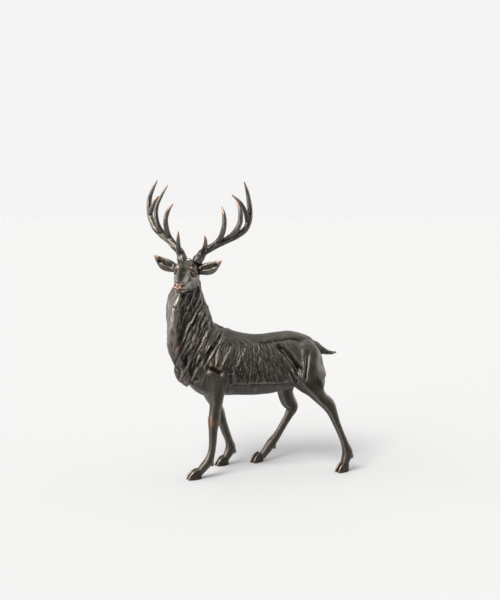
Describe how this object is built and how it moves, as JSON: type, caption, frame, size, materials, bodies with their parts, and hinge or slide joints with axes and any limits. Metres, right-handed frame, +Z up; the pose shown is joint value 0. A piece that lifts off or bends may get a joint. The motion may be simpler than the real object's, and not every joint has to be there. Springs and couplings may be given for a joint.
{
  "type": "cast iron stag statue",
  "caption": "Standing stag cast whole, head turned to its left, with branching antlers and a carved mane of hair; rests on its own hooves.",
  "frame": {"origin": "on the ground, below the middle of the statue's box", "axes": "+Z up to the antler tips, +X towards the tail, -Y towards the stag's left side, where its head turns"},
  "size_m": [0.3401, 0.1426, 0.5029],
  "materials": {
    "iron": "dark bronze-brown patina with copper rubbed through on the high places, semi-gloss"
  },
  "bodies": {
    "root": {"stag": "iron"}
  },
  "joints": []
}
